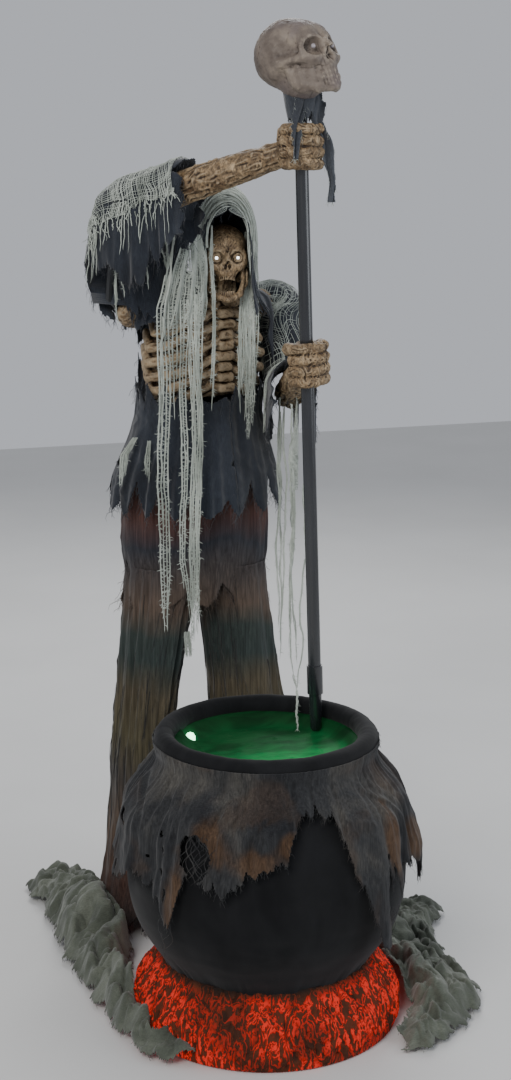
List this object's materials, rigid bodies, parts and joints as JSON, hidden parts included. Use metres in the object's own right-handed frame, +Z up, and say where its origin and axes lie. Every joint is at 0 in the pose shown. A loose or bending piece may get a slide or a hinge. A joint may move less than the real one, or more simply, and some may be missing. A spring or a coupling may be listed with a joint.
{
  "type": "animated witch figure",
  "caption": "Free-standing hooded skeletal figure that turns at the waist and stirs a lit fabric cauldron with a skull-topped staff.",
  "frame": {"origin": "on the floor under the centre of the cauldron, on the underside of its base plate", "axes": "+Z up, -Y the side the figure faces across the cauldron, +X to the right seen from the front"},
  "size_m": [0.955, 1.165, 2.1235],
  "materials": {
    "black_steel": "satin black powder coat",
    "bright_steel": "zinc plated steel",
    "grey_plastic": "moulded grey nylon",
    "black_plastic": "glossy black plastic tube",
    "black_cloth": "matte black canvas",
    "slate_cloth": "dark slate woven cloth",
    "gauze": "pale grey-green creased gauze",
    "drape_gauze": "torn gauze dyed rust and grey",
    "floor_gauze": "grey-green creased gauze",
    "dyed_gauze": "open weave dyed rust, slate and olive",
    "latex": "wrinkled brown latex over foam",
    "bone": "painted bone with purple-grey mottling",
    "brew": "translucent green sheet lit from inside",
    "coal": "moulded coal bed with red glow",
    "green_lamp": "green-white LED lens",
    "red_lamp": "red LED lens",
    "white_lamp": "white LED lens"
  },
  "bodies": {
    "base": {"base_plate": "black_steel", "coal_ring": "coal", "cauldron_frame": "black_steel", "cauldron_shell": "black_cloth", "brew_disc": "brew", "cauldron_rim": "black_cloth", "green_lamp": "green_lamp", "red_lamp": "red_lamp", "cauldron_drape": "drape_gauze", "floor_cloth_left": "floor_gauze", "floor_cloth_right": "floor_gauze", "base_link_tube": "black_steel", "rear_foot_frame": "black_steel", "leg_tube_lower_left": "black_steel", "leg_tube_upper_left": "bright_steel", "leg_tube_lower_right": "black_steel", "leg_tube_upper_right": "bright_steel", "hip_bracket": "black_steel", "trousers": "dyed_gauze", "gearbox_housing": "grey_plastic", "gearbox_cover": "grey_plastic", "lower_bearing": "bright_steel", "gear_motor": "bright_steel", "control_box": "black_plastic"},
    "pinion": {"drive_pinion": "bright_steel"},
    "left_leg_button": {"leg_button_left": "bright_steel"},
    "right_leg_button": {"leg_button_right": "bright_steel"},
    "switch_cap": {"mode_switch": "grey_plastic"},
    "box_door": {"battery_door": "black_plastic"},
    "upper_body": {"waist_gear": "grey_plastic", "spine_tube": "black_steel", "chest_back": "latex", "chest_front": "latex", "shoulder_bar": "black_steel", "neck_tube": "latex", "shoulder_cape": "slate_cloth", "tunic": "slate_cloth", "right_arm_tube": "black_steel", "right_forearm": "latex", "right_sleeve": "slate_cloth", "right_hand": "latex", "left_arm_tube": "black_steel", "left_forearm": "latex", "left_sleeve": "slate_cloth", "left_hand": "latex", "staff_lower_tube": "black_plastic", "staff_upper_tube": "black_plastic", "staff_spigot": "black_plastic", "staff_collar": "black_plastic", "staff_tip": "black_plastic", "staff_skull": "bone", "staff_eye_right": "white_lamp", "staff_eye_left": "white_lamp", "staff_neck_wrap": "slate_cloth"},
    "head": {"face_shell": "latex", "head_back": "latex", "eye_right": "white_lamp", "eye_left": "white_lamp", "hood": "slate_cloth"},
    "jaw": {"jaw": "latex"}
  },
  "joints": [
    {"name": "waist_turn", "type": "hinge", "parent": "base", "child": "upper_body", "pos_m": [0, 0.53, 0.966], "axis": [0, 0, 1], "range_deg": [-36, 0]},
    {"name": "pinion_spin", "type": "hinge", "parent": "base", "child": "pinion", "pos_m": [0, 0.5904, 0.932], "axis": [0, 0, 1], "range_deg": [0, 108]},
    {"name": "neck_turn", "type": "hinge", "parent": "upper_body", "child": "head", "pos_m": [0.04362, 0.44428, 1.6], "axis": [0, 0, 1], "range_deg": [-8, 40]},
    {"name": "jaw_hinge", "type": "hinge", "parent": "head", "child": "jaw", "pos_m": [0.03668, 0.40489, 1.588], "axis": [0.9848, -0.1736, 0], "range_deg": [-14, 0]},
    {"name": "left_button_press", "type": "slide", "parent": "base", "child": "left_leg_button", "axis": [0, 1, 0], "range_m": [0, 0.003], "stiffness_N_per_m": 1500},
    {"name": "right_button_press", "type": "slide", "parent": "base", "child": "right_leg_button", "axis": [0, 1, 0], "range_m": [0, 0.003], "stiffness_N_per_m": 1500},
    {"name": "mode_slide", "type": "slide", "parent": "base", "child": "switch_cap", "axis": [1, 0, 0], "range_m": [0, 0.008]},
    {"name": "door_hinge", "type": "hinge", "parent": "base", "child": "box_door", "pos_m": [0.077, 0.3878, 0.0036], "axis": [1, 0, 0], "range_deg": [-95, 0]}
  ],
  "couplings": [
    {"joint": "pinion_spin", "follows": "waist_turn", "ratio": -3}
  ]
}
